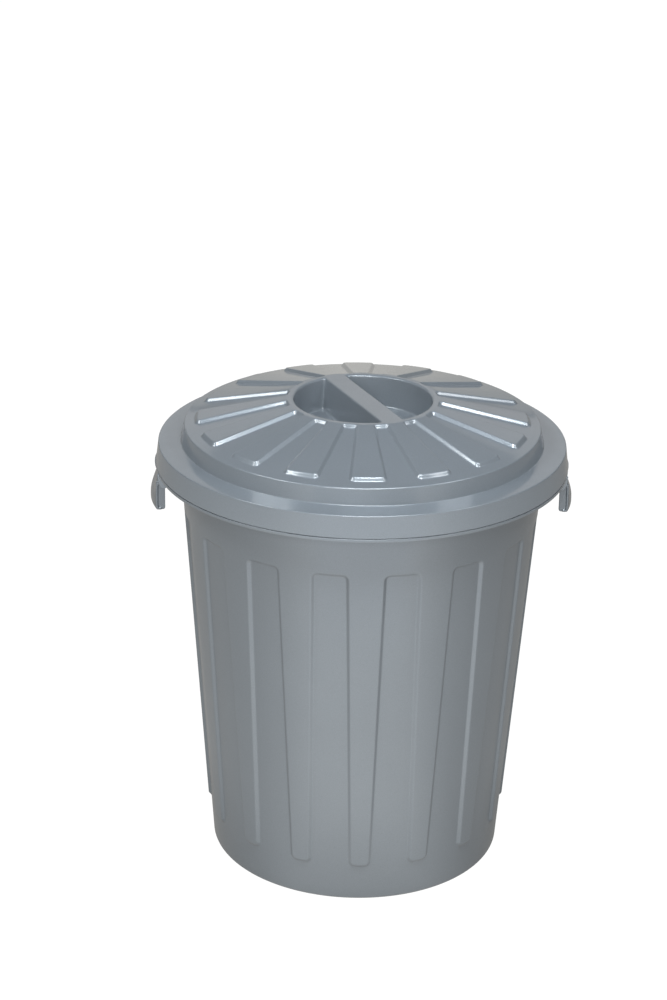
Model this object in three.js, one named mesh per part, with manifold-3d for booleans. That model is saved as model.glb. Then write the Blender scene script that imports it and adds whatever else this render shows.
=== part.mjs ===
// Round ribbed bin with a lift-off lid and two swing handles.
// Millimetres, +Z up, origin at the centre of the base's resting face.
// The handles are at +X and -X; one rib of the bin faces -Y.
import * as THREE from 'three';
import { mergeVertices } from 'three/addons/utils/BufferGeometryUtils.js';
import Module from 'manifold-3d';

// ---------------------------------------------------------------- dimensions
const COLUMNS = 96; // around the whole object
const STAVES = 16; // ribs on the bin, raised bars on the lid
const PITCH = (2 * Math.PI) / STAVES;
const FRONT = -Math.PI / 2;
const WALL = 2.5;

// bin: the outer face of the ribs is a cone, the panels between lie deeper
const RIB_R0 = 173.5;
const RIB_SLOPE = 0.0704;
const RIB_STEP = 3.2;
const RIB_BEVEL = 4.0; // width of the sloped side of a rib
const RIB_HALF_LOW = 11.2; // half width of a rib at its foot
const RIB_HALF_HIGH = 20.7; // and where it joins the band under the rim
const RIB_Z = [45, 49, 56]; // foot, edge, full width
const PANEL_Z = [412, 419.5, 423.5]; // full width, foot, edge of a panel's top
const RIB_CORNER = 3.6; // how far a rounded corner narrows a rib or a panel
const FOOT_FILLET = 5;
const FOOT_RING_IN = 152;
const BASE_RISE = 3;
const FLOOR_Z = 5.6;

// rim of the bin
const FLANGE_R = 235;
const FLANGE_TOP = 479;
const FLANGE_UNDER = 476.6;
const LIP_BOTTOM = 475;
const LIP_IN_R = 232.6;
const COLLAR_TOP = 498; // the wall goes on inside the lid
const TAB_REACH = 236.4; // thumb tab of the rim above each handle
const TAB_HALF = 29;

// hinge of each handle
const PIVOT_X = 226.2;
const PIVOT_Z = 466;
const PIN_R = 2.5;
const PIN_GAP = 0.25;
const EAR_IN = 45.4; // the ears' inner face, from the middle of the handle
const EAR_THICK = 3.6;
const PIN_DEPTH = 2.6;

// handle
const GRIP_HALF = 45;
const GRIP_WEB = 3;
const GRIP_WALL = 2.4;
const GRIP_X = 233.5;
const GRIP_BULGE = 8;
const GRIP_TOP = 466;
const GRIP_BOTTOM = 433;
const GRIP_IN = 223.2;
const GRIP_LIP = 6.5;

// lid
const SKIRT_BOTTOM = 479.4;
const SKIRT_R = 235;
const SKIRT_TOP_R = 231.5;
const LID_FLANGE_Z = 504.4;
const PLATEAU_FOOT = [206.2, 505.8];
const PLATEAU_EDGE = [202.5, 524.1];
const CONE_SLOPE = 0.217;
const RING_OUT = 87.1;
const RING_IN = 78.7;
const RING_Z = 553;
const BOWL_FLOOR_R = 76.6;
const BOWL_FLOOR_Z = 516;
const BAR_RISE = 3.8; // raised bars of the lid
const BAR_OUT_R = 188;
const BAR_HALF = 5.3 * (Math.PI / 180);
const BAR_BEVEL = 3.6;
const GRAB_ANGLE = -67.5 * (Math.PI / 180);
const GRAB_HALF_TOP = 13.1;
const GRAB_HALF_LOW = 16.7;

// ---------------------------------------------------------------- helpers
const wasm = await Module();
wasm.setup();

function toManifold(geometry) {
  const g = geometry.clone();
  g.deleteAttribute('normal');
  g.deleteAttribute('uv');
  const m = mergeVertices(g, 1e-4);
  const triVerts = m.index ? Uint32Array.from(m.index.array) : Uint32Array.from({ length: m.attributes.position.count }, (_, i) => i);
  return new wasm.Manifold(new wasm.Mesh({ numProp: 3, vertProperties: Float32Array.from(m.attributes.position.array), triVerts }));
}

function fromManifold(manifold) {
  const mesh = manifold.getMesh();
  const positions = new Float32Array((mesh.vertProperties.length / mesh.numProp) * 3);
  for (let i = 0; i < positions.length / 3; i += 1) {
    for (let k = 0; k < 3; k += 1) positions[3 * i + k] = mesh.vertProperties[i * mesh.numProp + k];
  }
  const g = new THREE.BufferGeometry();
  g.setAttribute('position', new THREE.BufferAttribute(positions, 3));
  g.setIndex(new THREE.BufferAttribute(Uint32Array.from(mesh.triVerts), 1));
  g.computeVertexNormals();
  return g;
}

function polyGeometry(points, faces) {
  const g = new THREE.BufferGeometry();
  g.setAttribute('position', new THREE.BufferAttribute(Float32Array.from(points.flat()), 3));
  g.setIndex(faces.flat());
  return g;
}

// closed solid between two end polygons joined by rings; every ring has the same count
function loft(rings) {
  const n = rings[0].length;
  const points = rings.flat();
  const faces = [];
  for (let r = 0; r + 1 < rings.length; r += 1) {
    for (let i = 0; i < n; i += 1) {
      const j = (i + 1) % n;
      const a = r * n + i;
      const b = r * n + j;
      const c = (r + 1) * n + j;
      const d = (r + 1) * n + i;
      faces.push([a, b, c], [a, c, d]);
    }
  }
  const flat = (ring, flip, base) => {
    const v = ring.map((p) => new THREE.Vector3(...p));
    const normal = new THREE.Vector3();
    for (let i = 0; i < n; i += 1) {
      const p = v[i];
      const q = v[(i + 1) % n];
      normal.x += (p.y - q.y) * (p.z + q.z);
      normal.y += (p.z - q.z) * (p.x + q.x);
      normal.z += (p.x - q.x) * (p.y + q.y);
    }
    normal.normalize();
    const u = new THREE.Vector3().subVectors(v[1], v[0]);
    u.addScaledVector(normal, -u.dot(normal)).normalize();
    const w = new THREE.Vector3().crossVectors(normal, u);
    const contour = v.map((p) => new THREE.Vector2(p.dot(u), p.dot(w)));
    for (const t of THREE.ShapeUtils.triangulateShape(contour, [])) {
      const tri = t.map((k) => base + k);
      const area = (contour[t[1]].x - contour[t[0]].x) * (contour[t[2]].y - contour[t[0]].y) - (contour[t[2]].x - contour[t[0]].x) * (contour[t[1]].y - contour[t[0]].y);
      const ccw = area > 0;
      faces.push(ccw === flip ? [tri[0], tri[2], tri[1]] : tri);
    }
  };
  flat(rings[0], true, 0);
  flat(rings[rings.length - 1], false, (rings.length - 1) * n);
  let g = polyGeometry(points, faces);
  if (signedVolume(g) < 0) g = polyGeometry(points, faces.map(([a, b, c]) => [a, c, b]));
  return toManifold(g);
}

function signedVolume(g) {
  const p = g.attributes.position.array;
  const t = g.index.array;
  let v = 0;
  for (let i = 0; i < t.length; i += 3) {
    const [a, b, c] = [t[i] * 3, t[i + 1] * 3, t[i + 2] * 3];
    v += p[a] * (p[b + 1] * p[c + 2] - p[b + 2] * p[c + 1]) - p[a + 1] * (p[b] * p[c + 2] - p[b + 2] * p[c]) + p[a + 2] * (p[b] * p[c + 1] - p[b + 1] * p[c]);
  }
  return v / 6;
}

// solid of revolution about +Z from [radius, height] pairs that start and end on the axis
function turned(profile, segments = COLUMNS) {
  const g = new THREE.LatheGeometry(profile.map(([r, z]) => new THREE.Vector2(r, z)), segments);
  g.rotateX(Math.PI / 2);
  let m = mergeVertices((() => { g.deleteAttribute('normal'); g.deleteAttribute('uv'); return g; })(), 1e-4);
  if (signedVolume(m) < 0) {
    const idx = Array.from(m.index.array);
    for (let i = 0; i < idx.length; i += 3) [idx[i + 1], idx[i + 2]] = [idx[i + 2], idx[i + 1]];
    m = m.clone();
    m.setIndex(idx);
  }
  // drop the faces that have no area on the axis
  const idx = Array.from(m.index.array);
  const keep = [];
  for (let i = 0; i < idx.length; i += 3) {
    if (idx[i] !== idx[i + 1] && idx[i + 1] !== idx[i + 2] && idx[i] !== idx[i + 2]) keep.push(idx[i], idx[i + 1], idx[i + 2]);
  }
  m.setIndex(keep);
  return toManifold(m);
}

// straight prism: an outline of [x, z] pairs from y0 to y1
function prismY(outline, y0, y1) {
  return loft([outline.map(([x, z]) => [x, y0, z]), outline.map(([x, z]) => [x, y1, z])]);
}

function roundedOutline(corners) {
  // corners: [x, z, radius, steps]
  const out = [];
  const n = corners.length;
  for (let i = 0; i < n; i += 1) {
    const [x, z, r, steps] = corners[i];
    if (!r) {
      out.push([x, z]);
      continue;
    }
    const p = new THREE.Vector2(x, z);
    const a = new THREE.Vector2(corners[(i + n - 1) % n][0], corners[(i + n - 1) % n][1]).sub(p).normalize();
    const b = new THREE.Vector2(corners[(i + 1) % n][0], corners[(i + 1) % n][1]).sub(p).normalize();
    const angle = Math.acos(a.dot(b));
    const cut = r / Math.tan(angle / 2);
    const start = p.clone().addScaledVector(a, cut);
    const end = p.clone().addScaledVector(b, cut);
    const centre = p.clone().addScaledVector(a.clone().add(b).normalize(), r / Math.sin(angle / 2));
    const s = start.clone().sub(centre);
    const e = end.clone().sub(centre);
    let sweep = Math.atan2(s.x * e.y - s.y * e.x, s.dot(e));
    for (let k = 0; k <= steps; k += 1) {
      const t = (sweep * k) / steps;
      out.push([centre.x + s.x * Math.cos(t) - s.y * Math.sin(t), centre.y + s.x * Math.sin(t) + s.y * Math.cos(t)]);
    }
  }
  return out;
}

function cylinderY(x, z, r, y0, y1, sides = 16) {
  const ring = (y) => Array.from({ length: sides }, (_, i) => [x + r * Math.cos((2 * Math.PI * (i + 0.5)) / sides), y, z + r * Math.sin((2 * Math.PI * (i + 0.5)) / sides)]);
  return loft([ring(y0), ring(y1)]);
}

// ---------------------------------------------------------------- bin
const ribHalf = (z) => RIB_HALF_LOW + ((z - RIB_Z[0]) / (PANEL_Z[2] - RIB_Z[0])) * (RIB_HALF_HIGH - RIB_HALF_LOW);
const ribR = (z) => RIB_R0 + RIB_SLOPE * z;
const panelR = (z) => ribR(z) - RIB_STEP;

// one ring of columns: radii and azimuths for the six columns of every stave
function staveRing(z, kind, inset, narrow = 0, widen = 0) {
  const ring = [];
  for (let k = 0; k < STAVES; k += 1) {
    const centre = FRONT + k * PITCH;
    const rIn = panelR(z) - inset;
    const rOut = ribR(z) - inset;
    let offsets;
    let radii;
    if (kind === 'even') {
      offsets = [-2, -1, 0, 1, 2, 3].map((s) => (s * PITCH) / 6);
      radii = Array(6).fill(rOut);
    } else {
      const mid = ribHalf(z) - narrow + widen;
      const edge = (mid - RIB_BEVEL / 2) / ribR(z);
      const foot = (mid + RIB_BEVEL / 2) / ribR(z);
      offsets = [-foot, -edge, 0, edge, foot, PITCH / 2];
      if (kind === 'ribs') radii = [rIn, rOut, rOut, rOut, rIn, rIn];
      if (kind === 'low') radii = Array(6).fill(rIn);
      if (kind === 'high') radii = Array(6).fill(rOut);
    }
    for (let i = 0; i < 6; i += 1) ring.push([radii[i], centre + offsets[i], z]);
  }
  return ring;
}

function plainRing(r, z) {
  const ring = [];
  for (let k = 0; k < STAVES; k += 1) {
    for (const s of [-2, -1, 0, 1, 2, 3]) ring.push([r, FRONT + k * PITCH + (s * PITCH) / 6, z]);
  }
  return ring;
}

function staveRows(inset) {
  return [
    staveRing(RIB_Z[0], 'low', inset, RIB_CORNER),
    staveRing(RIB_Z[1], 'ribs', inset, RIB_CORNER),
    staveRing(RIB_Z[2], 'ribs', inset),
    staveRing(PANEL_Z[0], 'ribs', inset),
    staveRing(PANEL_Z[1], 'ribs', inset, 0, RIB_CORNER),
    staveRing(PANEL_Z[2], 'high', inset, 0, RIB_CORNER),
  ];
}

function binShell() {
  const rings = [
    plainRing(FOOT_RING_IN - BASE_RISE, BASE_RISE),
    plainRing(FOOT_RING_IN, 0),
    plainRing(panelR(0) - FOOT_FILLET, 0),
    plainRing(panelR(0) - 1.4, 1.5),
    plainRing(panelR(FOOT_FILLET), FOOT_FILLET),
    ...staveRows(0),
    plainRing(ribR(FLANGE_UNDER), FLANGE_UNDER),
    plainRing(LIP_IN_R, FLANGE_UNDER),
    plainRing(LIP_IN_R, LIP_BOTTOM),
    plainRing(FLANGE_R - 0.6, LIP_BOTTOM),
    plainRing(FLANGE_R, LIP_BOTTOM + 0.6),
    plainRing(FLANGE_R, FLANGE_TOP - 0.5),
    plainRing(FLANGE_R - 0.5, FLANGE_TOP),
    plainRing(ribR(FLANGE_TOP), FLANGE_TOP),
    plainRing(ribR(COLLAR_TOP), COLLAR_TOP),
    plainRing(ribR(COLLAR_TOP) - WALL, COLLAR_TOP),
    plainRing(ribR(FLANGE_UNDER) - WALL, FLANGE_UNDER),
    ...staveRows(WALL).reverse(),
    plainRing(panelR(12) - WALL, 12),
    plainRing(panelR(12) - WALL - 5, FLOOR_Z),
  ];
  const n = COLUMNS;
  const points = rings.flat().map(([r, a, z]) => [r * Math.cos(a), r * Math.sin(a), z]);
  const faces = [];
  for (let r = 0; r + 1 < rings.length; r += 1) {
    for (let i = 0; i < n; i += 1) {
      const j = (i + 1) % n;
      faces.push([r * n + i, r * n + j, (r + 1) * n + j], [r * n + i, (r + 1) * n + j, (r + 1) * n + i]);
    }
  }
  const under = points.push([0, 0, BASE_RISE]) - 1;
  const floor = points.push([0, 0, FLOOR_Z]) - 1;
  const last = (rings.length - 1) * n;
  for (let i = 0; i < n; i += 1) {
    const j = (i + 1) % n;
    faces.push([under, j, i], [floor, last + i, last + j]);
  }
  let g = polyGeometry(points, faces);
  if (signedVolume(g) < 0) g = polyGeometry(points, faces.map(([a, b, c]) => [a, c, b]));
  return toManifold(g);
}

function earOutline() {
  return roundedOutline([
    [231.4, FLANGE_UNDER + 1.2, 0, 0],
    [230.9, 468.5, 2.5, 3],
    [227.5, 460.8, 2.5, 3],
    [221.5, 460.8, 2.5, 3],
    [218.6, 468, 3, 2],
    [218.6, FLANGE_UNDER + 1.2, 0, 0],
  ]);
}

function tabOutline() {
  // plan of the thumb tab, [x, y]
  const out = [];
  const steps = 10;
  for (let i = 0; i <= steps; i += 1) {
    const y = -TAB_HALF + (2 * TAB_HALF * i) / steps;
    const edge = Math.sqrt(FLANGE_R * FLANGE_R - TAB_HALF * TAB_HALF) - 0.4;
    out.push([edge + (TAB_REACH - edge) * (1 - (y / TAB_HALF) ** 2), y]);
  }
  out.push([LIP_IN_R - 1.6, TAB_HALF], [LIP_IN_R - 1.6, -TAB_HALF]);
  return out;
}

function sideFittings(side) {
  let add = null;
  let cut = null;
  for (const s of [-1, 1]) {
    const y0 = s * EAR_IN;
    const y1 = s * (EAR_IN + EAR_THICK);
    const ear = prismY(earOutline(), Math.min(y0, y1), Math.max(y0, y1));
    const hole = cylinderY(PIVOT_X, PIVOT_Z, PIN_R + PIN_GAP, Math.min(y0 - s, s * (EAR_IN + PIN_DEPTH + 0.3)), Math.max(y0 - s, s * (EAR_IN + PIN_DEPTH + 0.3)));
    add = add ? add.add(ear) : ear;
    cut = cut ? cut.add(hole) : hole;
  }
  const tab = tabOutline();
  add = add.add(loft([tab.map(([x, y]) => [x, y, LIP_BOTTOM]), tab.map(([x, y]) => [x, y, FLANGE_TOP])]));
  return side > 0 ? [add, cut] : [add.rotate([0, 0, 180]), cut.rotate([0, 0, 180])];
}

function makeBin() {
  let bin = binShell();
  for (const side of [1, -1]) {
    const [add, cut] = sideFittings(side);
    bin = bin.add(add).subtract(cut);
  }
  return bin;
}

// ---------------------------------------------------------------- handle, at +X
function gripBulge(z) {
  const t = Math.min(1, Math.max(0, (GRIP_TOP - 2 - z) / 24));
  return GRIP_BULGE * Math.sin((t * Math.PI) / 2);
}

function gripSection(y) {
  // closed outline of the C-shaped section at y: outer face going down, then the inner face going up
  const swell = 1 - (y / GRIP_HALF) ** 2;
  const outer = [];
  const zs = [GRIP_TOP, 461, 456, 450, 444, 437.5];
  for (const z of zs) outer.push([GRIP_X + gripBulge(z) * swell - (z === GRIP_TOP ? 1.2 : 0), z]);
  const low = GRIP_X + gripBulge(GRIP_BOTTOM) * swell;
  outer.push([low - 0.6, GRIP_BOTTOM + 1.2], [low - 2.2, GRIP_BOTTOM]);
  const inner = [[low - GRIP_LIP, GRIP_BOTTOM], [low - GRIP_LIP, GRIP_BOTTOM + GRIP_WALL], [low - GRIP_WALL - 0.6, GRIP_BOTTOM + GRIP_WALL]];
  for (const z of [444, 450, 456, 461]) inner.push([GRIP_X + gripBulge(z) * swell - GRIP_WALL, z]);
  inner.push([GRIP_X - GRIP_WALL - 0.4, GRIP_TOP - GRIP_WALL], [GRIP_X - 6.5, GRIP_TOP - GRIP_WALL], [GRIP_X - 6.5, GRIP_TOP]);
  return [...outer, ...inner].map(([x, z]) => [x, y, z]);
}

function makeHandle() {
  const rings = [];
  const steps = 14;
  for (let i = 0; i <= steps; i += 1) rings.push(gripSection(-(GRIP_HALF - 0.4) + (2 * (GRIP_HALF - 0.4) * i) / steps));
  let handle = loft(rings);
  const web = roundedOutline([
    [GRIP_IN, GRIP_BOTTOM, 2.2, 3],
    [GRIP_X, GRIP_BOTTOM, 2, 3],
    [GRIP_X + 0.3, 450, 0, 0],
    [GRIP_X - 0.2, GRIP_TOP, 2.2, 2],
    [PIVOT_X + 3.5, PIVOT_Z + 4.0, 2.5, 2],
    [PIVOT_X - 2.6, PIVOT_Z + 4.0, 2.5, 3],
    [GRIP_IN, PIVOT_Z - 1, 1.5, 2],
  ]);
  for (const s of [-1, 1]) {
    const y0 = s * (GRIP_HALF - GRIP_WEB);
    const y1 = s * GRIP_HALF;
    handle = handle.add(prismY(web, Math.min(y0, y1), Math.max(y0, y1)));
    const tip = s * (EAR_IN + PIN_DEPTH);
    handle = handle.add(cylinderY(PIVOT_X, PIVOT_Z, PIN_R, Math.min(y0 + s, tip), Math.max(y0 + s, tip)));
  }
  return handle;
}

// ---------------------------------------------------------------- lid
const coneZ = (r) => PLATEAU_EDGE[1] + (PLATEAU_EDGE[0] - r) * CONE_SLOPE;

function lidOuter() {
  return turned([
    [0, SKIRT_BOTTOM],
    [SKIRT_R, SKIRT_BOTTOM],
    [SKIRT_TOP_R + 0.4, LID_FLANGE_Z - 1.2],
    [SKIRT_TOP_R - 0.9, LID_FLANGE_Z],
    [PLATEAU_FOOT[0], PLATEAU_FOOT[1]],
    [PLATEAU_EDGE[0] + 0.2, PLATEAU_EDGE[1] - 1.2],
    [PLATEAU_EDGE[0] - 1.2, PLATEAU_EDGE[1] + 0.2],
    [RING_OUT + 2.2, coneZ(RING_OUT + 2.2)],
    [RING_OUT, coneZ(RING_OUT) + 1],
    [RING_OUT - 1.6, RING_Z],
    [RING_IN + 1.8, RING_Z],
    [RING_IN, RING_Z - 1.8],
    [BOWL_FLOOR_R + 0.2, BOWL_FLOOR_Z + 2.5],
    [BOWL_FLOOR_R - 2.5, BOWL_FLOOR_Z],
    [0, BOWL_FLOOR_Z],
  ]);
}

function lidInner() {
  const w = WALL;
  return turned([
    [0, SKIRT_BOTTOM - 20],
    [SKIRT_R - w + 2.8, SKIRT_BOTTOM - 20],
    [SKIRT_TOP_R - w - 0.2, LID_FLANGE_Z - w],
    [PLATEAU_FOOT[0] - w + 0.3, PLATEAU_FOOT[1] - w],
    [PLATEAU_EDGE[0] - w - 0.2, PLATEAU_EDGE[1] - w - 0.3],
    [RING_OUT - 1.0, coneZ(RING_OUT) - w - 0.2],
    [RING_OUT - 2.4, RING_Z - w],
    [RING_IN + w, RING_Z - w],
    [BOWL_FLOOR_R + w, BOWL_FLOOR_Z - w],
    [0, BOWL_FLOOR_Z - w],
  ]);
}

// one raised bar of the lid as a solid that dips into the cone; drop lowers the top, trim narrows it
function lidBar(k, drop, trim) {
  const a = FRONT + k * PITCH;
  const rOut = BAR_OUT_R - trim;
  const rIn = RING_OUT - 6 + (trim ? 3.6 : 0);
  const section = (r, rise, half, foot) => {
    const top = coneZ(r) + rise - drop;
    const low = coneZ(r) - 6;
    return [[r, -foot, low], [r, foot, low], [r, half, top], [r, -half, top]];
  };
  const fit = (r) => {
    const half = r * BAR_HALF - trim * 0.75;
    return [half, half + BAR_BEVEL * ((BAR_RISE + 6) / BAR_RISE)];
  };
  const rings = [];
  const limit = RING_Z - drop;
  const riseAt = (r) => Math.min(BAR_RISE, RING_Z - coneZ(r));
  const radii = [rIn, RING_OUT + 8, RING_OUT + 30, rOut - 4];
  for (const r of radii) {
    const [half, foot] = fit(r);
    const rise = riseAt(Math.max(r, RING_OUT - 1));
    const ring = section(r, rise, half, foot);
    for (const p of ring) if (p[2] > limit) p[2] = limit;
    if (r < RING_OUT) for (const p of ring.slice(2)) p[2] = Math.min(p[2], RING_Z - drop);
    rings.push(ring);
  }
  const [hEnd, fEnd] = fit(rOut);
  rings.push([[rOut + BAR_BEVEL * 1.6, -(fEnd - 4), coneZ(rOut) - 6], [rOut + BAR_BEVEL * 1.6, fEnd - 4, coneZ(rOut) - 6], [rOut, hEnd - 3, coneZ(rOut) + BAR_RISE - drop], [rOut, -(hEnd - 3), coneZ(rOut) + BAR_RISE - drop]]);
  const c = Math.cos(a);
  const s = Math.sin(a);
  return loft(rings.map((ring) => ring.map(([x, y, z]) => [x * c - y * s, x * s + y * c, z])));
}

// the bar across the bowl; the outline is narrower at the top
function grabBar(trim, top, bottom, reach) {
  const slope = (GRAB_HALF_LOW - GRAB_HALF_TOP) / (RING_Z - BOWL_FLOOR_Z);
  const half = (z) => GRAB_HALF_TOP + (RING_Z - z) * slope - trim;
  const c = Math.cos(GRAB_ANGLE);
  const s = Math.sin(GRAB_ANGLE);
  const ring = (d) => [[d, -half(bottom), bottom], [d, half(bottom), bottom], [d, half(top - 1.2), top - 1.2], [d, half(top) - 1.2, top], [d, -half(top) + 1.2, top], [d, -half(top - 1.2), top - 1.2]].map(([x, y, z]) => [x * c - y * s, x * s + y * c, z]);
  return loft([ring(-reach), ring(reach)]);
}

function makeLid() {
  let outer = lidOuter();
  let inner = lidInner();
  const bars = [];
  const hollows = [];
  for (let k = 0; k < STAVES; k += 1) {
    bars.push(lidBar(k, 0, 0));
    hollows.push(lidBar(k, WALL, 2.2));
  }
  // keep the bars outside the bowl
  const bowl = turned([[0, BOWL_FLOOR_Z - 5], [RING_IN + 1.6, BOWL_FLOOR_Z - 5], [RING_IN + 1.6, RING_Z + 10], [0, RING_Z + 10]]);
  const bowlWall = turned([[0, BOWL_FLOOR_Z - 12], [RING_IN + WALL + 0.6, BOWL_FLOOR_Z - 12], [RING_IN + WALL + 0.6, RING_Z + 10], [0, RING_Z + 10]]);
  outer = outer.add(wasm.Manifold.union(bars).subtract(bowl));
  outer = outer.add(grabBar(0, RING_Z, BOWL_FLOOR_Z - 1, RING_IN + 0.6));
  inner = inner.add(wasm.Manifold.union(hollows).subtract(bowlWall));
  inner = inner.add(grabBar(WALL, RING_Z - WALL, BOWL_FLOOR_Z - WALL - 1, RING_IN - 0.2));
  return outer.subtract(inner);
}

// ---------------------------------------------------------------- assembly
const plastic = (name) => new THREE.MeshStandardMaterial({ name, color: new THREE.Color(0x8f9497), roughness: 0.34, metalness: 0.15 });

const group = new THREE.Group();
function place(name, geometry) {
  const mesh = new THREE.Mesh(geometry, plastic(name));
  mesh.name = name;
  group.add(mesh);
  return mesh;
}

place('bin_body', fromManifold(makeBin()));
place('lid', fromManifold(makeLid()));
const handle = makeHandle();
place('right_handle', fromManifold(handle));
place('left_handle', fromManifold(handle.rotate([0, 0, 180])));

export default group;
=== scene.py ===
import math

import bpy
import bmesh
import numpy as np
from mathutils import Matrix, Vector
from mathutils.geometry import delaunay_2d_cdt


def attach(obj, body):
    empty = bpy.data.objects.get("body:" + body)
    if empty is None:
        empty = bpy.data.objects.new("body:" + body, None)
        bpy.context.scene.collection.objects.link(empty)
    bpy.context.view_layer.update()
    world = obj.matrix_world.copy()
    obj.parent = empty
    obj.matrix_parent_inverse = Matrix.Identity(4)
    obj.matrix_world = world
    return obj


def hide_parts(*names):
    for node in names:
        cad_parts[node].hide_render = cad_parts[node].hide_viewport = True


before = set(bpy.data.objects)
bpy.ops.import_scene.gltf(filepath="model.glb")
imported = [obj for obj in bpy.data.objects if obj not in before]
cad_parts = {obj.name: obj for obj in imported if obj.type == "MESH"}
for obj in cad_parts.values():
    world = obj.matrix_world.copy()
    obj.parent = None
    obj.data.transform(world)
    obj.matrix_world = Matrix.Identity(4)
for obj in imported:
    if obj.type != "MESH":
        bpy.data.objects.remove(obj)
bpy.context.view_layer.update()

MM = 0.001
STAVES = 16
PITCH = 2 * math.pi / STAVES
FRONT = -math.pi / 2


# ------------------------------------------------------------------ shapes in numbers (millimetres)
def ramp(d, width, blend):
    """0 well outside, 1 well inside: a straight slope with a rounding at both ends."""
    u = np.clip(d + width / 2, 0, width)
    m = 1.0 / (width - blend)
    low = m * u * u / (2 * blend)
    mid = m * (u - blend / 2)
    high = 1 - m * (width - u) ** 2 / (2 * blend)
    return np.where(u < blend, low, np.where(u < width - blend, mid, high))


def both(a, b, r):
    """Distance inside two edges at once, with the corner rounded."""
    u = np.maximum(r - a, 0)
    v = np.maximum(r - b, 0)
    return np.where(np.minimum(a, b) > r, np.minimum(a, b), r - np.hypot(u, v))


def either(a, b, r):
    return -both(-a, -b, r)


def rounded(corners):
    """An open line through (x, z, radius, steps) with its corners rounded."""
    out = []
    n = len(corners)
    for i, (x, z, r, steps) in enumerate(corners):
        if not r or i in (0, n - 1):
            out.append((x, z))
            continue
        p = np.array((x, z))
        a = np.array(corners[i - 1][:2]) - p
        b = np.array(corners[i + 1][:2]) - p
        a = a / np.linalg.norm(a)
        b = b / np.linalg.norm(b)
        angle = math.acos(max(-1, min(1, float(a @ b))))
        cut = r / math.tan(angle / 2)
        s, e = p + a * cut, p + b * cut
        mid = a + b
        c = p + mid / np.linalg.norm(mid) * r / math.sin(angle / 2)
        s, e = s - c, e - c
        sweep = math.atan2(s[0] * e[1] - s[1] * e[0], float(s @ e))
        for k in range(steps + 1):
            t = sweep * k / steps
            out.append((c[0] + s[0] * math.cos(t) - s[1] * math.sin(t), c[1] + s[0] * math.sin(t) + s[1] * math.cos(t)))
    return out


def spread(a, b, n):
    return list(np.linspace(a, b, n))


def held(line, d=0.5):
    """A line with an extra point close to both ends of each long straight, so that the straight shades flat."""
    out = [line[0]]
    for a, b in zip(line, line[1:]):
        p, q = np.array(a), np.array(b)
        n = np.linalg.norm(q - p)
        if n > 4.0:
            out += [tuple(p + (q - p) * d / n), tuple(q - (q - p) * d / n)]
        out.append(b)
    return out


# ------------------------------------------------------------------ meshes
def mesh_object(name, points, faces, smooth_angle=None):
    """points in millimetres; the faces are turned outward by the sign of the volume."""
    points = np.asarray(points, float)
    tris = np.array([(f[0], f[i], f[i + 1]) for f in faces for i in range(1, len(f) - 1)])
    if np.einsum("ij,ij->i", points[tris[:, 0]], np.cross(points[tris[:, 1]], points[tris[:, 2]])).sum() < 0:
        faces = [tuple(reversed(f)) for f in faces]
    mesh = bpy.data.meshes.new(name)
    mesh.from_pydata([tuple(p) for p in points * MM], [], faces)
    mesh.validate()
    mesh.update()
    mesh.polygons.foreach_set("use_smooth", [True] * len(mesh.polygons))
    if smooth_angle:
        mesh.set_sharp_from_angle(angle=math.radians(smooth_angle))
    obj = bpy.data.objects.new(name, mesh)
    bpy.context.scene.collection.objects.link(obj)
    return obj


def ring_faces(rows, columns, start=0):
    faces = []
    for r in range(rows - 1):
        a = start + r * columns
        b = a + columns
        for i in range(columns):
            j = (i + 1) % columns
            faces.append((a + i, a + j, b + j, b + i))
    return faces


def polar(radius, angle, z):
    return np.stack([radius * np.cos(angle), radius * np.sin(angle), np.broadcast_to(z, np.shape(angle))], -1)


# ------------------------------------------------------------------ can
RIB_R0, RIB_SLOPE, RIB_STEP = 173.5, 0.0704, 3.2
RIB_FOOT, PANEL_TOP = 47.0, 421.5
RIB_WALL, RIB_BLEND = 5.0, 1.9


def rib_half(z):
    return 11.2 + (z - 45.0) / (423.5 - 45.0) * (20.7 - 11.2)


def rib_r(z):
    return RIB_R0 + RIB_SLOPE * z


EDGE_STEPS = [-7.0, -4.2, -3.0, -2.4, -1.7, -0.85, 0.0, 0.85, 1.7, 2.4, 3.0, 4.2, 7.0]


def can_columns(z):
    """Azimuths of the can's columns at a height: they follow the edges of the ribs."""
    r = rib_r(z)
    half = rib_half(min(max(z, 45.0), 423.5))
    reach = r * PITCH / 2
    side = [0.5 * (half - 7.0)] + [half + e for e in EDGE_STEPS]
    last = half + 7.0
    side += [last + (reach - last) * 0.4, last + (reach - last) * 0.75]
    offsets = np.array([0.0] + side + [reach] + [-s for s in reversed(side)])
    ahead = np.array([0.0] * (len(side) + 2) + [PITCH] * len(side))
    return np.concatenate([FRONT + k * PITCH + ahead + offsets / r for k in range(STAVES)]), np.tile(offsets, STAVES)


def can_row(z, inset, width=RIB_WALL):
    angle, offset = can_columns(z)
    half = rib_half(min(max(z, 30.0), 440.0))
    inside = both(half - np.abs(offset), np.full_like(offset, z - RIB_FOOT), 6.6)
    inside = either(inside, np.full_like(offset, z - PANEL_TOP), 5.6)
    return polar(rib_r(z) - RIB_STEP * (1 - ramp(inside, width, RIB_BLEND)) - inset, angle, z)


def can_ring(radius, z, at):
    """A plain ring whose columns are those of height `at`. radius is a number or one per column."""
    angle, _ = can_columns(at)
    return polar(np.broadcast_to(radius, angle.shape), angle, z)


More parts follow.
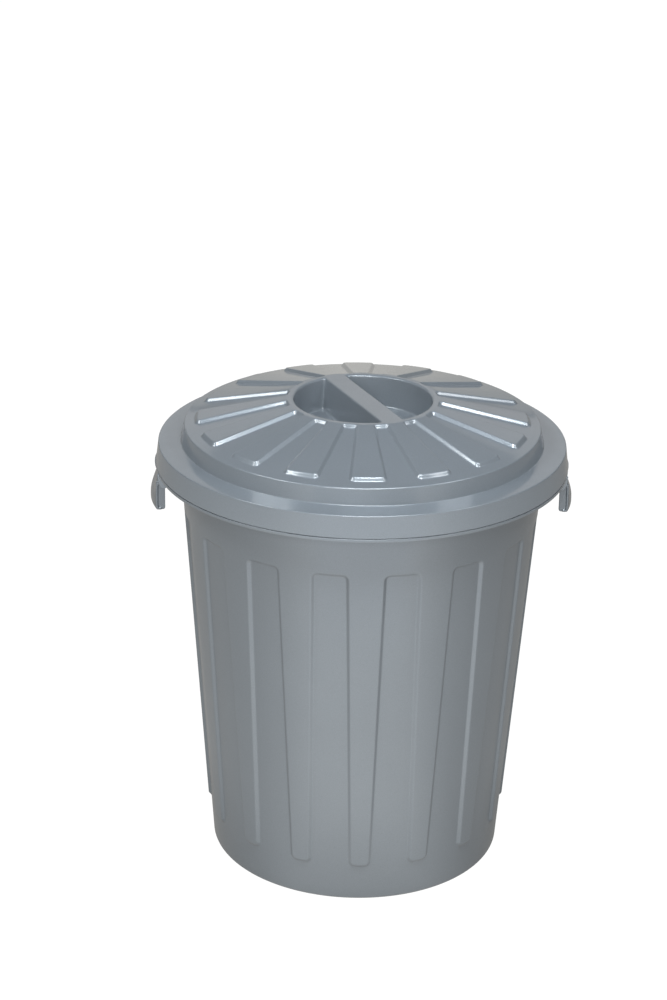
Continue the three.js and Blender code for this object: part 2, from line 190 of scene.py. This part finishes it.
def rim_radius(angle, base):
    """The rim's edge, which swells into a thumb tab over each handle."""
    delta = np.abs((np.abs(angle % (2 * math.pi) - math.pi) - math.pi / 2))
    delta = math.pi / 2 - delta  # from the x axis
    y = 235.0 * np.sin(delta)
    edge = math.sqrt(235.0**2 - 29.0**2) - 0.4
    t = np.clip(1 - (y / 29.0) ** 2, 0, 1)
    bump = np.hypot(edge + (236.4 - edge) * t, y)
    return np.maximum(base, np.where(np.abs(y) < 29.0, bump - (235.0 - base), base))


def make_can():
    rows = []
    # under the base and round the foot
    foot = rounded([(20, 3.0, 0, 0), (148.5, 3.0, 2.0, 4), (152, 0, 1.6, 4), (170.3, 0, 5.0, 7), (170.3 + 0.0704 * 22, 22, 0, 0)])
    for r, z in foot[:-1]:
        rows.append(can_ring(r, z, 45.0))
    for z in spread(14, 36, 4):
        rows.append(can_row(z, 0))
    for z in spread(38.5, 58, 20):
        rows.append(can_row(z, 0))
    for z in spread(64, 404, 11):
        rows.append(can_row(z, 0))
    for z in spread(409, 429.5, 21):
        rows.append(can_row(z, 0))
    for z in spread(436, 470, 4):
        rows.append(can_row(z, 0))
    # rim, its lip, the collar and its top
    top = rounded([
        (rib_r(470), 470, 0, 0), (rib_r(476.6), 476.6, 1.6, 5), (232.6, 476.6, 0.5, 3), (232.6, 475.0, 0.35, 3), (235.0, 475.0, 1.1, 6),
        (235.0, 479.0, 0.5, 4), (rib_r(479), 479.0, 0.8, 4), (rib_r(498), 498.0, 1.0, 4), (rib_r(498) - 2.5, 498.0, 1.0, 4), (rib_r(470) - 2.5, 470, 0, 0),
    ])
    for r, z in held(top[1:-1]):
        angle, _ = can_columns(423.5)
        radius = rim_radius(angle, r) if r > 232.9 else np.full_like(angle, r)
        rows.append(polar(radius, angle, z))
    # inside, down again
    for z in spread(470, 432, 3) + spread(428, 411, 10) + spread(404, 64, 8) + spread(57, 39, 10) + spread(34, 14, 3):
        rows.append(can_row(z, 2.5, RIB_WALL + 1.0))
    for r, z in rounded([(168.7 - 0.2, 13.4, 0, 0), (168.2, 5.6, 4.5, 6), (20, 5.6, 0, 0)])[1:]:
        rows.append(can_ring(r, z, 45.0))
    columns = rows[0].shape[0]
    points = np.concatenate(rows)
    faces = ring_faces(len(rows), columns)
    points = np.concatenate([points, [[0, 0, 3.0], [0, 0, 5.6]]])
    under, floor = len(points) - 2, len(points) - 1
    last = (len(rows) - 1) * columns
    for i in range(columns):
        j = (i + 1) % columns
        faces.append((under, j, i))
        faces.append((floor, last + i, last + j))
    return mesh_object("can_shell", points, faces)


# ------------------------------------------------------------------ lid
CONE = lambda r: 524.1 + (202.5 - r) * 0.217
BAR_HALF = math.radians(5.3)
BAR_MID = 1.8
BAR_RISE = 3.8
BAR_WALL, BAR_BLEND = 4.3, 1.05
RING_TOP = 553.0
LID_EDGE = [-6, -4.6, -3.5, -2.7, -2.2, -1.7, -1.2, -0.6, 0, 0.6, 1.2, 1.7, 2.2, 2.7, 3.5, 4.6, 6]


def lid_columns(r):
    at = min(max(r, 87.0), 189.0)
    edge = at * BAR_HALF + BAR_MID
    reach = at * PITCH / 2
    side = [0.5 * (edge - 6.0)] + [edge + e for e in LID_EDGE]
    last = edge + 6.0
    side += [last + (reach - last) * 0.35, last + (reach - last) * 0.7]
    offsets = np.array([0.0] + side + [reach] + [-s for s in reversed(side)]) / at
    ahead = np.array([0.0] * (len(side) + 2) + [PITCH] * len(side))
    return np.tile(offsets, STAVES), np.concatenate([FRONT + k * PITCH + ahead + offsets for k in range(STAVES)])


def bar_height(r, inset=0.0, wall=BAR_WALL):
    """0 on the cone and 1 on the bars and the ring, at each column of radius r."""
    offset, _ = lid_columns(r)
    a = r * BAR_HALF + BAR_MID - inset - r * np.abs(offset)
    inside = both(a, np.full_like(a, 189.1 - inset - r), 4.6)
    inside = either(inside, np.full_like(a, 87.35 - inset - r), 2.2)
    return ramp(inside, wall, BAR_BLEND)


def soft_min(a, b, k):
    h = np.clip(0.5 + 0.5 * (b - a) / k, 0, 1)
    return b * (1 - h) + a * h - k * h * (1 - h)


def cone_row(r, drop=0.0, inset=0.0):
    _, angle = lid_columns(r)
    z = CONE(r) + BAR_RISE * bar_height(r, inset)
    z = soft_min(z, np.full_like(z, RING_TOP), 0.5) - drop
    return np.stack([r * np.cos(angle), r * np.sin(angle), z], -1)


def lid_ring(r, z, at=200.0):
    _, angle = lid_columns(at)
    return polar(np.full_like(angle, r), angle, z)


GRAB = math.radians(-67.5)
POCKET_N = (64, 7, 40)
POCKET_COUNT = POCKET_N[0] + 2 * (POCKET_N[1] - 1) + POCKET_N[2] + 1


def pocket_outline(circle, line, corner, side):
    """D-shaped outline beside the grab bar: a big arc, two small rounded corners and a straight side."""
    d = line + corner
    reach = circle - corner
    t = math.sqrt(max(reach * reach - d * d, 1e-6))
    end = math.atan2(d, t)  # azimuth of the corner's centre, from the bar's axis
    out = []
    n_arc, n_corner, n_line = POCKET_N
    for i in range(n_arc):
        a = end + (math.pi - 2 * end) * i / (n_arc - 1)
        out.append((circle * math.cos(a), circle * math.sin(a)))
    for i in range(1, n_corner):
        a = (math.pi - end) + (math.pi / 2 + end) * i / n_corner
        out.append((-t + corner * math.cos(a), d + corner * math.sin(a)))
    for i in range(n_line + 1):
        out.append((-t + 2 * t * i / n_line, line))
    for i in range(1, n_corner):
        a = -math.pi / 2 + (math.pi / 2 + end) * i / n_corner
        out.append((t + corner * math.cos(a), d + corner * math.sin(a)))
    p = np.array(out)
    p[:, 1] *= side
    c, s = math.cos(GRAB), math.sin(GRAB)
    return np.stack([p[:, 0] * c - p[:, 1] * s, p[:, 0] * s + p[:, 1] * c], -1)


def pocket_rows(side):
    """From the top plane down to the floor."""
    rows = []
    lip, brow = 3.2, 1.7  # rounding of the ring's inner edge and of the bar's top edge
    for extra in (0.25, 0.0):
        rows.append((78.7 + lip + extra, 13.1 - brow - extra, 2.6, RING_TOP))
    for i in range(1, 7):
        a = math.pi / 2 * i / 6
        rows.append((78.7 + lip * (1 - math.sin(a)), 13.1 - brow * (1 - math.sin(a)), 2.4, RING_TOP - 2.2 * (1 - math.cos(a))))
    depth = RING_TOP - 516.0
    for i in range(1, 9):
        z = RING_TOP - 2.2 - (depth - 2.2 - 2.6) * i / 8
        k = (RING_TOP - z) / depth
        rows.append((78.7 - 2.1 * k, 13.1 + 3.6 * k, 2.4 - 0.6 * k, z))
    circle, line = rows[-1][0], rows[-1][1]
    for i in range(1, 7):
        a = math.pi / 2 * i / 6
        rows.append((circle - 2.6 * (1 - math.cos(a)), line + 2.6 * (1 - math.cos(a)), 1.8, 516.0 + 2.6 * (1 - math.sin(a))))
    rows.append((circle - 3.6, line + 3.6, 1.8, 516.0))
    return [np.concatenate([pocket_outline(c, l, r, side), np.full((POCKET_COUNT, 1), z)], 1) for c, l, r, z in rows]


def fill_plane(outer, holes, z):
    """Triangles of a flat face between an outline and its holes. Returns points and faces."""
    points, edges = [], []
    for loop in [outer] + holes:
        n, base = len(loop), len(points)
        points += [Vector((float(x), float(y))) for x, y in loop]
        edges += [(base + i, base + (i + 1) % n) for i in range(n)]
    made = delaunay_2d_cdt(points, edges, [], 0, 1e-6)
    verts, faces = made[0], made[2]
    keep = []
    for f in faces:
        c = sum((verts[i] for i in f), Vector((0, 0))) / len(f)
        if crossings(outer, c) % 2 and not any(crossings(h, c) % 2 for h in holes):
            keep.append(tuple(f))
    return np.array([(v.x, v.y, z) for v in verts]), keep


def crossings(loop, p):
    x, y = np.asarray(loop)[:, 0], np.asarray(loop)[:, 1]
    x2, y2 = np.roll(x, -1), np.roll(y, -1)
    over = (y > p[1]) != (y2 > p[1])
    with np.errstate(divide="ignore", invalid="ignore"):
        at = x + (p[1] - y) / (y2 - y) * (x2 - x)
    return int(np.count_nonzero(over & (p[0] < at)))


def make_lid():
    rows = []
    # underside of the skirt's edge, skirt, flange, plateau, cone
    outer = rounded([
        (232.0, 479.4, 0, 0), (235.0, 479.4, 0.9, 5), (231.9, 504.6, 1.3, 7), (206.4, 505.5, 1.1, 5), (202.6, 524.25, 1.9, 8), (198.0, CONE(198.0), 0, 0),
    ])
    for r, z in held(outer[:-1]):
        rows.append(lid_ring(r, z))
    top_radii = spread(199.5, 195.5, 3) + spread(194.2, 183.8, 16) + spread(181, 98, 11) + spread(95.5, 83.8, 16)
    for r in top_radii:
        rows.append(cone_row(r))
    rows.append(lid_ring(83.0, RING_TOP, 87.0))
    rows.append(lid_ring(82.2, RING_TOP, 87.0))
    columns = rows[0].shape[0]
    upper = len(rows)
    # underside, from the ring out to the skirt's edge
    under = []
    under.append(lid_ring(83.0, 550.5 - 0.3, 87.0))
    for r in spread(85.5, 95, 6) + spread(102, 180, 8) + spread(184, 192, 7) + [197.5]:
        under.append(cone_row(r, 2.5, 1.6))
    for r, z in rounded([(198.0, CONE(198.0) - 2.5, 0, 0), (200.1, 521.2, 1.2, 4), (203.7, 503.3, 1.4, 4), (229.2, 502.0, 1.0, 4), (232.0, 479.4, 0, 0)])[1:-1]:
        under.append(lid_ring(r, z))
    points = np.concatenate(rows + under)
    faces = ring_faces(upper, columns)
    base = upper * columns
    faces += ring_faces(len(under), columns, base)
    # the edge of the skirt closes the two skins
    last = base + (len(under) - 1) * columns
    for i in range(columns):
        j = (i + 1) % columns
        faces.append((last + i, last + j, j, i))
    # top plane with the two pockets
    start_top = (upper - 1) * columns
    holes = [pocket_rows(1), pocket_rows(-1)]
    outline = points[start_top:start_top + columns, :2]
    flat, tris = fill_plane(outline, [h[0][:, :2] for h in holes], RING_TOP)
    pieces = [points, flat]
    offset = len(points)
    faces += [tuple(offset + i for i in t) for t in tris]
    offset += len(flat)
    for h in holes:
        n = h[0].shape[0]
        faces += ring_faces(len(h), n, offset)
        pieces += [np.concatenate(h), h[-1].mean(axis=0, keepdims=True)]
        middle, edge = offset + len(h) * n, offset + (len(h) - 1) * n
        faces += [(edge + i, edge + (i + 1) % n, middle) for i in range(n)]
        offset += len(h) * n + 1
    # underside of the bowl, as an outer skin 2.5 mm thick, and of the hollow grab bar
    under_holes = []
    for side in (1, -1):
        under_rows = []
        for c, l, r, z in [(81.2, 10.6, 3.0, 550.2), (80.7, 11.1, 3.0, 549.0), (79.4, 14.2, 3.0, 516.5), (78.9, 15.0, 3.0, 514.2), (77.5, 16.5, 3.0, 513.5)]:
            under_rows.append(np.concatenate([pocket_outline(c, l, r, side), np.full((POCKET_COUNT, 1), z)], 1))
        under_holes.append(under_rows)
    ring_in = points[base:base + columns, :2]
    flat, tris = fill_plane(ring_in, [h[0][:, :2] for h in under_holes], 550.2)
    pieces.append(flat)
    faces += [tuple(offset + i for i in reversed(t)) for t in tris]
    offset += len(flat)
    for h in under_holes:
        n = h[0].shape[0]
        faces += ring_faces(len(h), n, offset)
        pieces += [np.concatenate(h), h[-1].mean(axis=0, keepdims=True)]
        middle, edge = offset + len(h) * n, offset + (len(h) - 1) * n
        faces += [(edge + i, edge + (i + 1) % n, middle) for i in range(n)]
        offset += len(h) * n + 1
    obj = mesh_object("lid_shell", np.concatenate(pieces), faces)
    bm = bmesh.new()
    bm.from_mesh(obj.data)
    bmesh.ops.remove_doubles(bm, verts=bm.verts, dist=0.00002)
    bmesh.ops.recalc_face_normals(bm, faces=bm.faces)
    bm.to_mesh(obj.data)
    bm.free()
    obj.data.polygons.foreach_set("use_smooth", [True] * len(obj.data.polygons))
    return obj


# ------------------------------------------------------------------ handles and ears
def loft_points(rings):
    n = len(rings[0])
    points = [p for ring in rings for p in ring]
    faces = ring_faces(len(rings), n)
    faces.append(tuple(reversed(range(n))))
    faces.append(tuple((len(rings) - 1) * n + i for i in range(n)))
    return points, faces


def grip_bulge(z):
    t = min(1, max(0, (464.0 - z) / 24))
    return 8.0 * math.sin(t * math.pi / 2)


def grip_ring(y):
    swell = 1 - (y / 45.0) ** 2
    low = 233.5 + grip_bulge(433) * swell
    outer = [(233.5 + grip_bulge(z) * swell - (1.2 if z == 466 else 0), z) for z in [466] + spread(464.6, 436.0, 19)]
    outer += [(low - 0.35, 434.6), (low - 1.1, 433.4), (low - 2.2, 433.0)]
    inner = [(low - 6.5, 433.0), (low - 6.5, 435.4), (low - 3.4, 435.4), (low - 2.5, 436.2)]
    inner += [(233.5 + grip_bulge(z) * swell - 2.4, z) for z in spread(438.5, 461.5, 15)]
    inner += [(230.7, 463.6), (227.0, 463.6), (227.0, 466.0)]
    return [(x, y, z) for x, z in outer + inner]


def web_outline():
    corners = [(223.2, 433, 2.6, 6), (233.5, 433, 2.2, 6), (233.8, 450, 30, 3), (233.3, 466, 2.2, 5), (229.7, 470, 2.5, 6), (223.6, 470, 2.5, 6), (223.2, 465, 1.5, 3)]
    wrapped = [corners[-1]] + corners + [corners[0]]
    out = rounded(wrapped)
    return out[1:-1]


def prism(outline, y0, y1):
    return loft_points([[(x, y0, z) for x, z in outline], [(x, y1, z) for x, z in outline]])


def rod(x, z, r, y0, y1, sides=40):
    ring = [(x + r * math.cos(2 * math.pi * i / sides), z + r * math.sin(2 * math.pi * i / sides)) for i in range(sides)]
    return prism(ring, y0, y1)


def joined(name, parts):
    points, faces = [], []
    for p, f in parts:
        base = len(points)
        sub = np.array(p, float)
        volume = 0.0
        for q in f:
            for i in range(1, len(q) - 1):
                volume += float(np.dot(sub[q[0]], np.cross(sub[q[i]], sub[q[i + 1]])))
        points += list(p)
        faces += [tuple(base + i for i in (reversed(q) if volume < 0 else q)) for q in f]
    mesh = bpy.data.meshes.new(name)
    mesh.from_pydata([tuple(np.array(p) * MM) for p in points], [], faces)
    mesh.update()
    obj = bpy.data.objects.new(name, mesh)
    bpy.context.scene.collection.objects.link(obj)
    return obj


def remeshed(obj, voxel, rounds, factor=0.5):
    """One closed skin with small soft edges, from overlapping closed solids."""
    m = obj.modifiers.new("skin", "REMESH")
    m.mode = "VOXEL"
    m.voxel_size = voxel * MM
    s = obj.modifiers.new("soft", "SMOOTH")
    s.factor = factor
    s.iterations = rounds
    dg = bpy.context.evaluated_depsgraph_get()
    mesh = bpy.data.meshes.new_from_object(obj.evaluated_get(dg))
    obj.modifiers.clear()
    old = obj.data
    obj.data = mesh
    bpy.data.meshes.remove(old)
    obj.data.polygons.foreach_set("use_smooth", [True] * len(obj.data.polygons))
    obj.data.name = obj.name
    return obj


def turned_round(obj, side):
    if side < 0:
        obj.data.transform(Matrix.Rotation(math.pi, 4, "Z"))
    return obj


def make_handle(name, side):
    parts = [loft_points([grip_ring(y) for y in spread(-44.6, 44.6, 47)])]
    for s in (-1, 1):
        y0, y1 = s * 40.4, s * 43.2
        parts.append(prism(web_outline(), min(y0, y1), max(y0, y1)))
        tip = s * (45.4 + 2.6)
        parts.append(rod(226.2, 466.0, 2.5, min(y0 + s, tip), max(y0 + s, tip)))
    return turned_round(remeshed(joined(name, parts), 0.55, 5), side)


def make_ear(name, side, end):
    outline = rounded([(218.6, 470, 0, 0), (218.6, 477.8, 0, 0), (231.4, 477.8, 0, 0), (230.9, 468.5, 2.5, 5), (227.5, 460.8, 2.5, 6), (221.5, 460.8, 2.5, 6), (218.6, 468, 3, 4), (218.6, 470, 0, 0)])[1:-1]
    inner, outer = end * 45.4, end * 49.0
    body = joined(name, [prism(outline, min(inner, outer), max(inner, outer))])
    hole = joined(name + "_hole", [rod(226.2, 466.0, 2.78, min(inner - end * 2, inner + end * 2.9), max(inner - end * 2, inner + end * 2.9))])
    b = body.modifiers.new("hole", "BOOLEAN")
    b.operation = "DIFFERENCE"
    b.solver = "EXACT"
    b.object = hole
    dg = bpy.context.evaluated_depsgraph_get()
    mesh = bpy.data.meshes.new_from_object(body.evaluated_get(dg))
    body.modifiers.clear()
    body.data = mesh
    bpy.data.objects.remove(hole)
    return turned_round(remeshed(body, 0.4, 3), side)


can = make_can()
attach(can, "can")
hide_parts("bin_body")

lid = make_lid()
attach(lid, "lid")
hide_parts("lid")

handles = []
for name, side in (("right", 1), ("left", -1)):
    handle = make_handle(name + "_grip", side)
    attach(handle, name + "_handle")
    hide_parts(name + "_handle")
    handles.append(handle)

ears = []
for name, side in (("right", 1), ("left", -1)):
    for label, end in (("front", -side), ("back", side)):
        ear = make_ear(f"{name}_ear_{label}", side, end)
        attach(ear, "can")
        ears.append(ear)


# ------------------------------------------------------------------ materials
def plastic(name, colour, roughness, seed, flake, cloud=0.02, orange_peel=0.03):
    """Moulded silver-grey plastic: silver pigment under a clear gloss, slow flow clouding and a faint moulded texture."""
    mat = bpy.data.materials.new(name)
    mat.use_nodes = True
    nt = mat.node_tree
    nt.nodes.clear()
    new = nt.nodes.new
    out = new("ShaderNodeOutputMaterial")
    shader = new("ShaderNodeBsdfPrincipled")
    nt.links.new(shader.outputs["BSDF"], out.inputs["Surface"])
    shader.inputs["IOR"].default_value = 1.5
    shader.inputs["Specular IOR Level"].default_value = 0.0
    shader.inputs["Metallic"].default_value = flake
    shader.inputs["Coat Roughness"].default_value = roughness
    shader.inputs["Coat Weight"].default_value = 1.0
    shader.inputs["Coat IOR"].default_value = 1.5
    place = new("ShaderNodeTexCoord")
    shift = new("ShaderNodeMapping")
    shift.inputs["Location"].default_value = (seed * 1.7, seed * 0.9, seed * 2.3)
    nt.links.new(place.outputs["Object"], shift.inputs["Vector"])

    def noise(scale, detail, rough=0.5):
        n = new("ShaderNodeTexNoise")
        n.inputs["Scale"].default_value = scale
        n.inputs["Detail"].default_value = detail
        n.inputs["Roughness"].default_value = rough
        nt.links.new(shift.outputs["Vector"], n.inputs["Vector"])
        return n

    clouds = noise(9.0, 3.0)
    speckle = noise(1500.0, 2.0)
    c = np.array(colour)

    def ramp_node(source, dark, light, low, high):
        r = new("ShaderNodeValToRGB")
        r.color_ramp.elements[0].position = low
        r.color_ramp.elements[1].position = high
        r.color_ramp.elements[0].color = (*[float(v) for v in dark], 1)
        r.color_ramp.elements[1].color = (*[float(v) for v in light], 1)
        nt.links.new(source.outputs["Fac"], r.inputs["Fac"])
        return r

    slow = ramp_node(clouds, c * (1 - cloud), c * (1 + cloud), 0.3, 0.7)
    fine = ramp_node(speckle, (0.93, 0.93, 0.93), (1.07, 1.07, 1.07), 0.3, 0.7)
    mix = new("ShaderNodeMix")
    mix.data_type = "RGBA"
    mix.blend_type = "MULTIPLY"
    mix.inputs["Factor"].default_value = 1.0
    nt.links.new(slow.outputs["Color"], mix.inputs["A"])
    nt.links.new(fine.outputs["Color"], mix.inputs["B"])
    nt.links.new(mix.outputs["Result"], shader.inputs["Base Color"])

    gloss = noise(38.0, 3.0)
    span = new("ShaderNodeMapRange")
    span.inputs["From Min"].default_value = 0.3
    span.inputs["From Max"].default_value = 0.7
    span.inputs["To Min"].default_value = 0.28
    span.inputs["To Max"].default_value = 0.38
    nt.links.new(gloss.outputs["Fac"], span.inputs["Value"])
    nt.links.new(span.outputs["Result"], shader.inputs["Roughness"])

    grain = noise(2300.0, 2.0)
    b1 = new("ShaderNodeBump")
    b1.inputs["Strength"].default_value = orange_peel
    b1.inputs["Distance"].default_value = 0.00004
    nt.links.new(grain.outputs["Fac"], b1.inputs["Height"])
    flow = noise(26.0, 2.0)
    b2 = new("ShaderNodeBump")
    b2.inputs["Strength"].default_value = 0.06
    b2.inputs["Distance"].default_value = 0.0003
    nt.links.new(flow.outputs["Fac"], b2.inputs["Height"])
    nt.links.new(b1.outputs["Normal"], b2.inputs["Normal"])
    nt.links.new(b2.outputs["Normal"], shader.inputs["Normal"])
    nt.links.new(b2.outputs["Normal"], shader.inputs["Coat Normal"])
    return mat


GREY = (0.230, 0.261, 0.292)
body_mat = plastic("can_plastic", GREY, 0.21, 1, 0.48)
lid_mat = plastic("lid_plastic", GREY, 0.09, 2, 0.33)
grip_mat = plastic("grip_plastic", tuple(0.80 * v for v in GREY), 0.15, 3, 0.48)
for o in [can] + ears:
    o.data.materials.clear()
    o.data.materials.append(body_mat)
lid.data.materials.append(lid_mat)
for o in handles:
    o.data.materials.clear()
    o.data.materials.append(grip_mat)


# ------------------------------------------------------------------ floor, light, camera
def floor_mesh():
    mesh = bpy.data.meshes.new("studio_floor")
    ring = [(30 * math.cos(2 * math.pi * i / 96), 30 * math.sin(2 * math.pi * i / 96), 0.0) for i in range(96)]
    mesh.from_pydata(ring, [], [tuple(range(96))])
    mesh.update()
    obj = bpy.data.objects.new("studio_floor", mesh)
    bpy.context.scene.collection.objects.link(obj)
    mat = bpy.data.materials.new("studio_white")
    mat.use_nodes = True
    shader = mat.node_tree.nodes["Principled BSDF"]
    shader.inputs["Base Color"].default_value = (0.04, 0.04, 0.04, 1)
    shader.inputs["Emission Color"].default_value = (1, 1, 1, 1)
    shader.inputs["Emission Strength"].default_value = 1.02
    shader.inputs["Roughness"].default_value = 0.9
    shader.inputs["Specular IOR Level"].default_value = 0.0
    mesh.materials.append(mat)


floor_mesh()


def backdrop(radius, rows=24, columns=96):
    """A white studio dome behind everything. It is only seen directly and takes no part in the lighting."""
    verts = [(radius * math.cos(math.pi / 2 * j / rows) * math.cos(2 * math.pi * i / columns),
              radius * math.cos(math.pi / 2 * j / rows) * math.sin(2 * math.pi * i / columns),
              radius * math.sin(math.pi / 2 * j / rows)) for j in range(rows) for i in range(columns)]
    faces = [(j * columns + i, (j + 1) * columns + i, (j + 1) * columns + (i + 1) % columns, j * columns + (i + 1) % columns)
             for j in range(rows - 1) for i in range(columns)]
    verts.append((0, 0, radius))
    last = (rows - 1) * columns
    faces += [(last + i, len(verts) - 1, last + (i + 1) % columns) for i in range(columns)]
    mesh = bpy.data.meshes.new("backdrop")
    mesh.from_pydata(verts, [], faces)
    mesh.update()
    mat = bpy.data.materials.new("backdrop_white")
    mat.use_nodes = True
    nt = mat.node_tree
    nt.nodes.clear()
    out = nt.nodes.new("ShaderNodeOutputMaterial")
    glow = nt.nodes.new("ShaderNodeEmission")
    glow.inputs["Strength"].default_value = 1.02
    nt.links.new(glow.outputs["Emission"], out.inputs["Surface"])
    mesh.materials.append(mat)
    obj = bpy.data.objects.new("backdrop", mesh)
    bpy.context.scene.collection.objects.link(obj)
    obj.visible_diffuse = obj.visible_glossy = obj.visible_transmission = False
    obj.visible_volume_scatter = obj.visible_shadow = False


backdrop(24.0)


def surround(tones, radius, height):
    """A card on the floor and a curved board round the object whose own brightness changes smoothly with
    azimuth, as studios use to shade the sides of a glossy object. Azimuth 0 is the front, + is the right.
    Each tone is azimuth, card and board, upper edge of the board. It is never seen directly."""
    azimuths = [t[0] for t in tones]
    steps = 120
    verts, values, faces = [], [], []
    for i in range(steps + 1):
        az = 360 * i / steps
        a = math.radians(az)
        low, high = (float(np.interp(az, azimuths, [t[k] for t in tones])) for k in (1, 2))
        warm = float(np.interp(az, (135, 160, 200, 225), (0, 1, 1, 0)))
        rings = ((0.165, 0.0006, low * 0.6, 0), (0.34, 0.001, low, 0), (radius, 0.002, low, 0), (radius, 0.36, low, 0), (radius, 0.46, high, warm), (radius, height, high, warm))
        for r, z, v, w in rings:
            verts.append((r * math.sin(a), -r * math.cos(a), z))
            values += [v * (0.936 + 0.01 * w), v * 0.913, v * (0.873 - 0.03 * w), 1.0]
        if i < steps:  # only the card lies in front, where the board would stand in the way
            behind = azimuths[1] <= 360 * (i + 0.5) / steps <= azimuths[-2]
            faces += [(6 * i + k, 6 * i + 6 + k, 6 * i + 7 + k, 6 * i + 1 + k) for k in range(5 if behind else 2)]
    mesh = bpy.data.meshes.new("surround")
    mesh.from_pydata(verts, [], faces)
    mesh.update()
    tone = mesh.attributes.new("tone", "FLOAT_COLOR", "POINT")
    tone.data.foreach_set("color", values)
    mat = bpy.data.materials.new("surround")
    mat.use_nodes = True
    nt = mat.node_tree
    nt.nodes.clear()
    out = nt.nodes.new("ShaderNodeOutputMaterial")
    glow = nt.nodes.new("ShaderNodeEmission")
    value = nt.nodes.new("ShaderNodeAttribute")
    value.attribute_name = "tone"
    nt.links.new(value.outputs["Color"], glow.inputs["Color"])
    nt.links.new(glow.outputs["Emission"], out.inputs["Surface"])
    mesh.materials.append(mat)
    obj = bpy.data.objects.new("surround", mesh)
    bpy.context.scene.collection.objects.link(obj)
    obj.visible_camera = False
    obj.visible_shadow = False


surround([
    (0, 1.20, 1.0), (28, 1.14, 0.9), (44, 0.80, 0.42), (58, 0.58, 0.20), (80, 0.46, 0.14), (130, 0.33, 0.18), (155, 0.36, 0.45), (180, 0.48, 0.70),
    (205, 0.38, 0.45), (230, 0.42, 0.20), (280, 0.56, 0.16), (300, 0.66, 0.22), (316, 0.84, 0.44), (332, 1.14, 0.9), (360, 1.20, 1.0),
], 0.78, 0.68)


def area(name, place, target, size, power, colour=(1, 1, 1)):
    light = bpy.data.lights.new(name, "AREA")
    light.shape = "RECTANGLE"
    light.size, light.size_y = size
    light.energy = power
    light.color = colour
    obj = bpy.data.objects.new(name, light)
    bpy.context.scene.collection.objects.link(obj)
    obj.location = place
    obj.rotation_euler = (Vector(target) - Vector(place)).to_track_quat("-Z", "Y").to_euler()
    obj.visible_camera = False
    return obj


LID_MIDDLE = Vector((0, 0, 0.5))


def softbox(name, azimuth, elevation, distance, size, radiance, colour=(1, 1, 1)):
    """A panel seen from the lid at that azimuth (0 is the camera's side, 90 the right) and elevation."""
    a, e = math.radians(azimuth), math.radians(elevation)
    place = LID_MIDDLE + distance * Vector((math.sin(a) * math.cos(e), -math.cos(a) * math.cos(e), math.sin(e)))
    return area(name, place, LID_MIDDLE, size, radiance * math.pi * size[0] * size[1], colour)


softbox("above_front", 8, 60, 2.0, (1.0, 0.5), 17.0, (0.98, 1.01, 1.01))
softbox("left_box", -67, 46, 2.2, (0.85, 0.48), 11.2, (0.99, 1.01, 1.00))
softbox("right_box", 66, 46, 2.2, (0.75, 0.48), 8.0, (0.99, 1.00, 1.01))
softbox("front_fill", -8, 22, 3.4, (1.9, 1.1), 6.6, (1.00, 1.00, 1.00))
softbox("back_panel", 180, 24, 2.5, (2.6, 0.8), 0.468, (1.06, 1.00, 0.94))

world = bpy.data.worlds.new("studio")
bpy.context.scene.world = world
world.use_nodes = True
wt = world.node_tree
back = wt.nodes["Background"]
back.inputs["Strength"].default_value = 0.125
where = wt.nodes.new("ShaderNodeTexCoord")
split = wt.nodes.new("ShaderNodeSeparateXYZ")
sky = wt.nodes.new("ShaderNodeValToRGB")
sky.color_ramp.elements[0].position = 0.0
sky.color_ramp.elements[0].color = (0.88, 0.87, 0.88, 1)
sky.color_ramp.elements[1].position = 1.0
sky.color_ramp.elements[1].color = (2.6, 3.1, 4.1, 1)
middle = sky.color_ramp.elements.new(0.78)
middle.color = (0.80, 0.80, 0.83, 1)
wt.links.new(where.outputs["Generated"], split.inputs["Vector"])
wt.links.new(split.outputs["Z"], sky.inputs["Fac"])
wt.links.new(sky.outputs["Color"], back.inputs["Color"])

cam_data = bpy.data.cameras.new("photo_camera")
cam_data.sensor_width = 36.0
cam_data.lens = 86.43
cam_data.clip_end = 60
cam = bpy.data.objects.new("photo_camera", cam_data)
bpy.context.scene.collection.objects.link(cam)
cam.location = (-0.0987, -2.5576, 1.4748)
look = Vector((0.02423, 0.92521, -0.37868)).normalized()
turn = look.to_track_quat("-Z", "Y").to_matrix().to_4x4()
cam.matrix_world = Matrix.Translation(cam.location) @ turn @ Matrix.Rotation(math.radians(0.9088), 4, "Z")
bpy.context.scene.camera = cam
bpy.context.scene.view_settings.view_transform = "Standard"
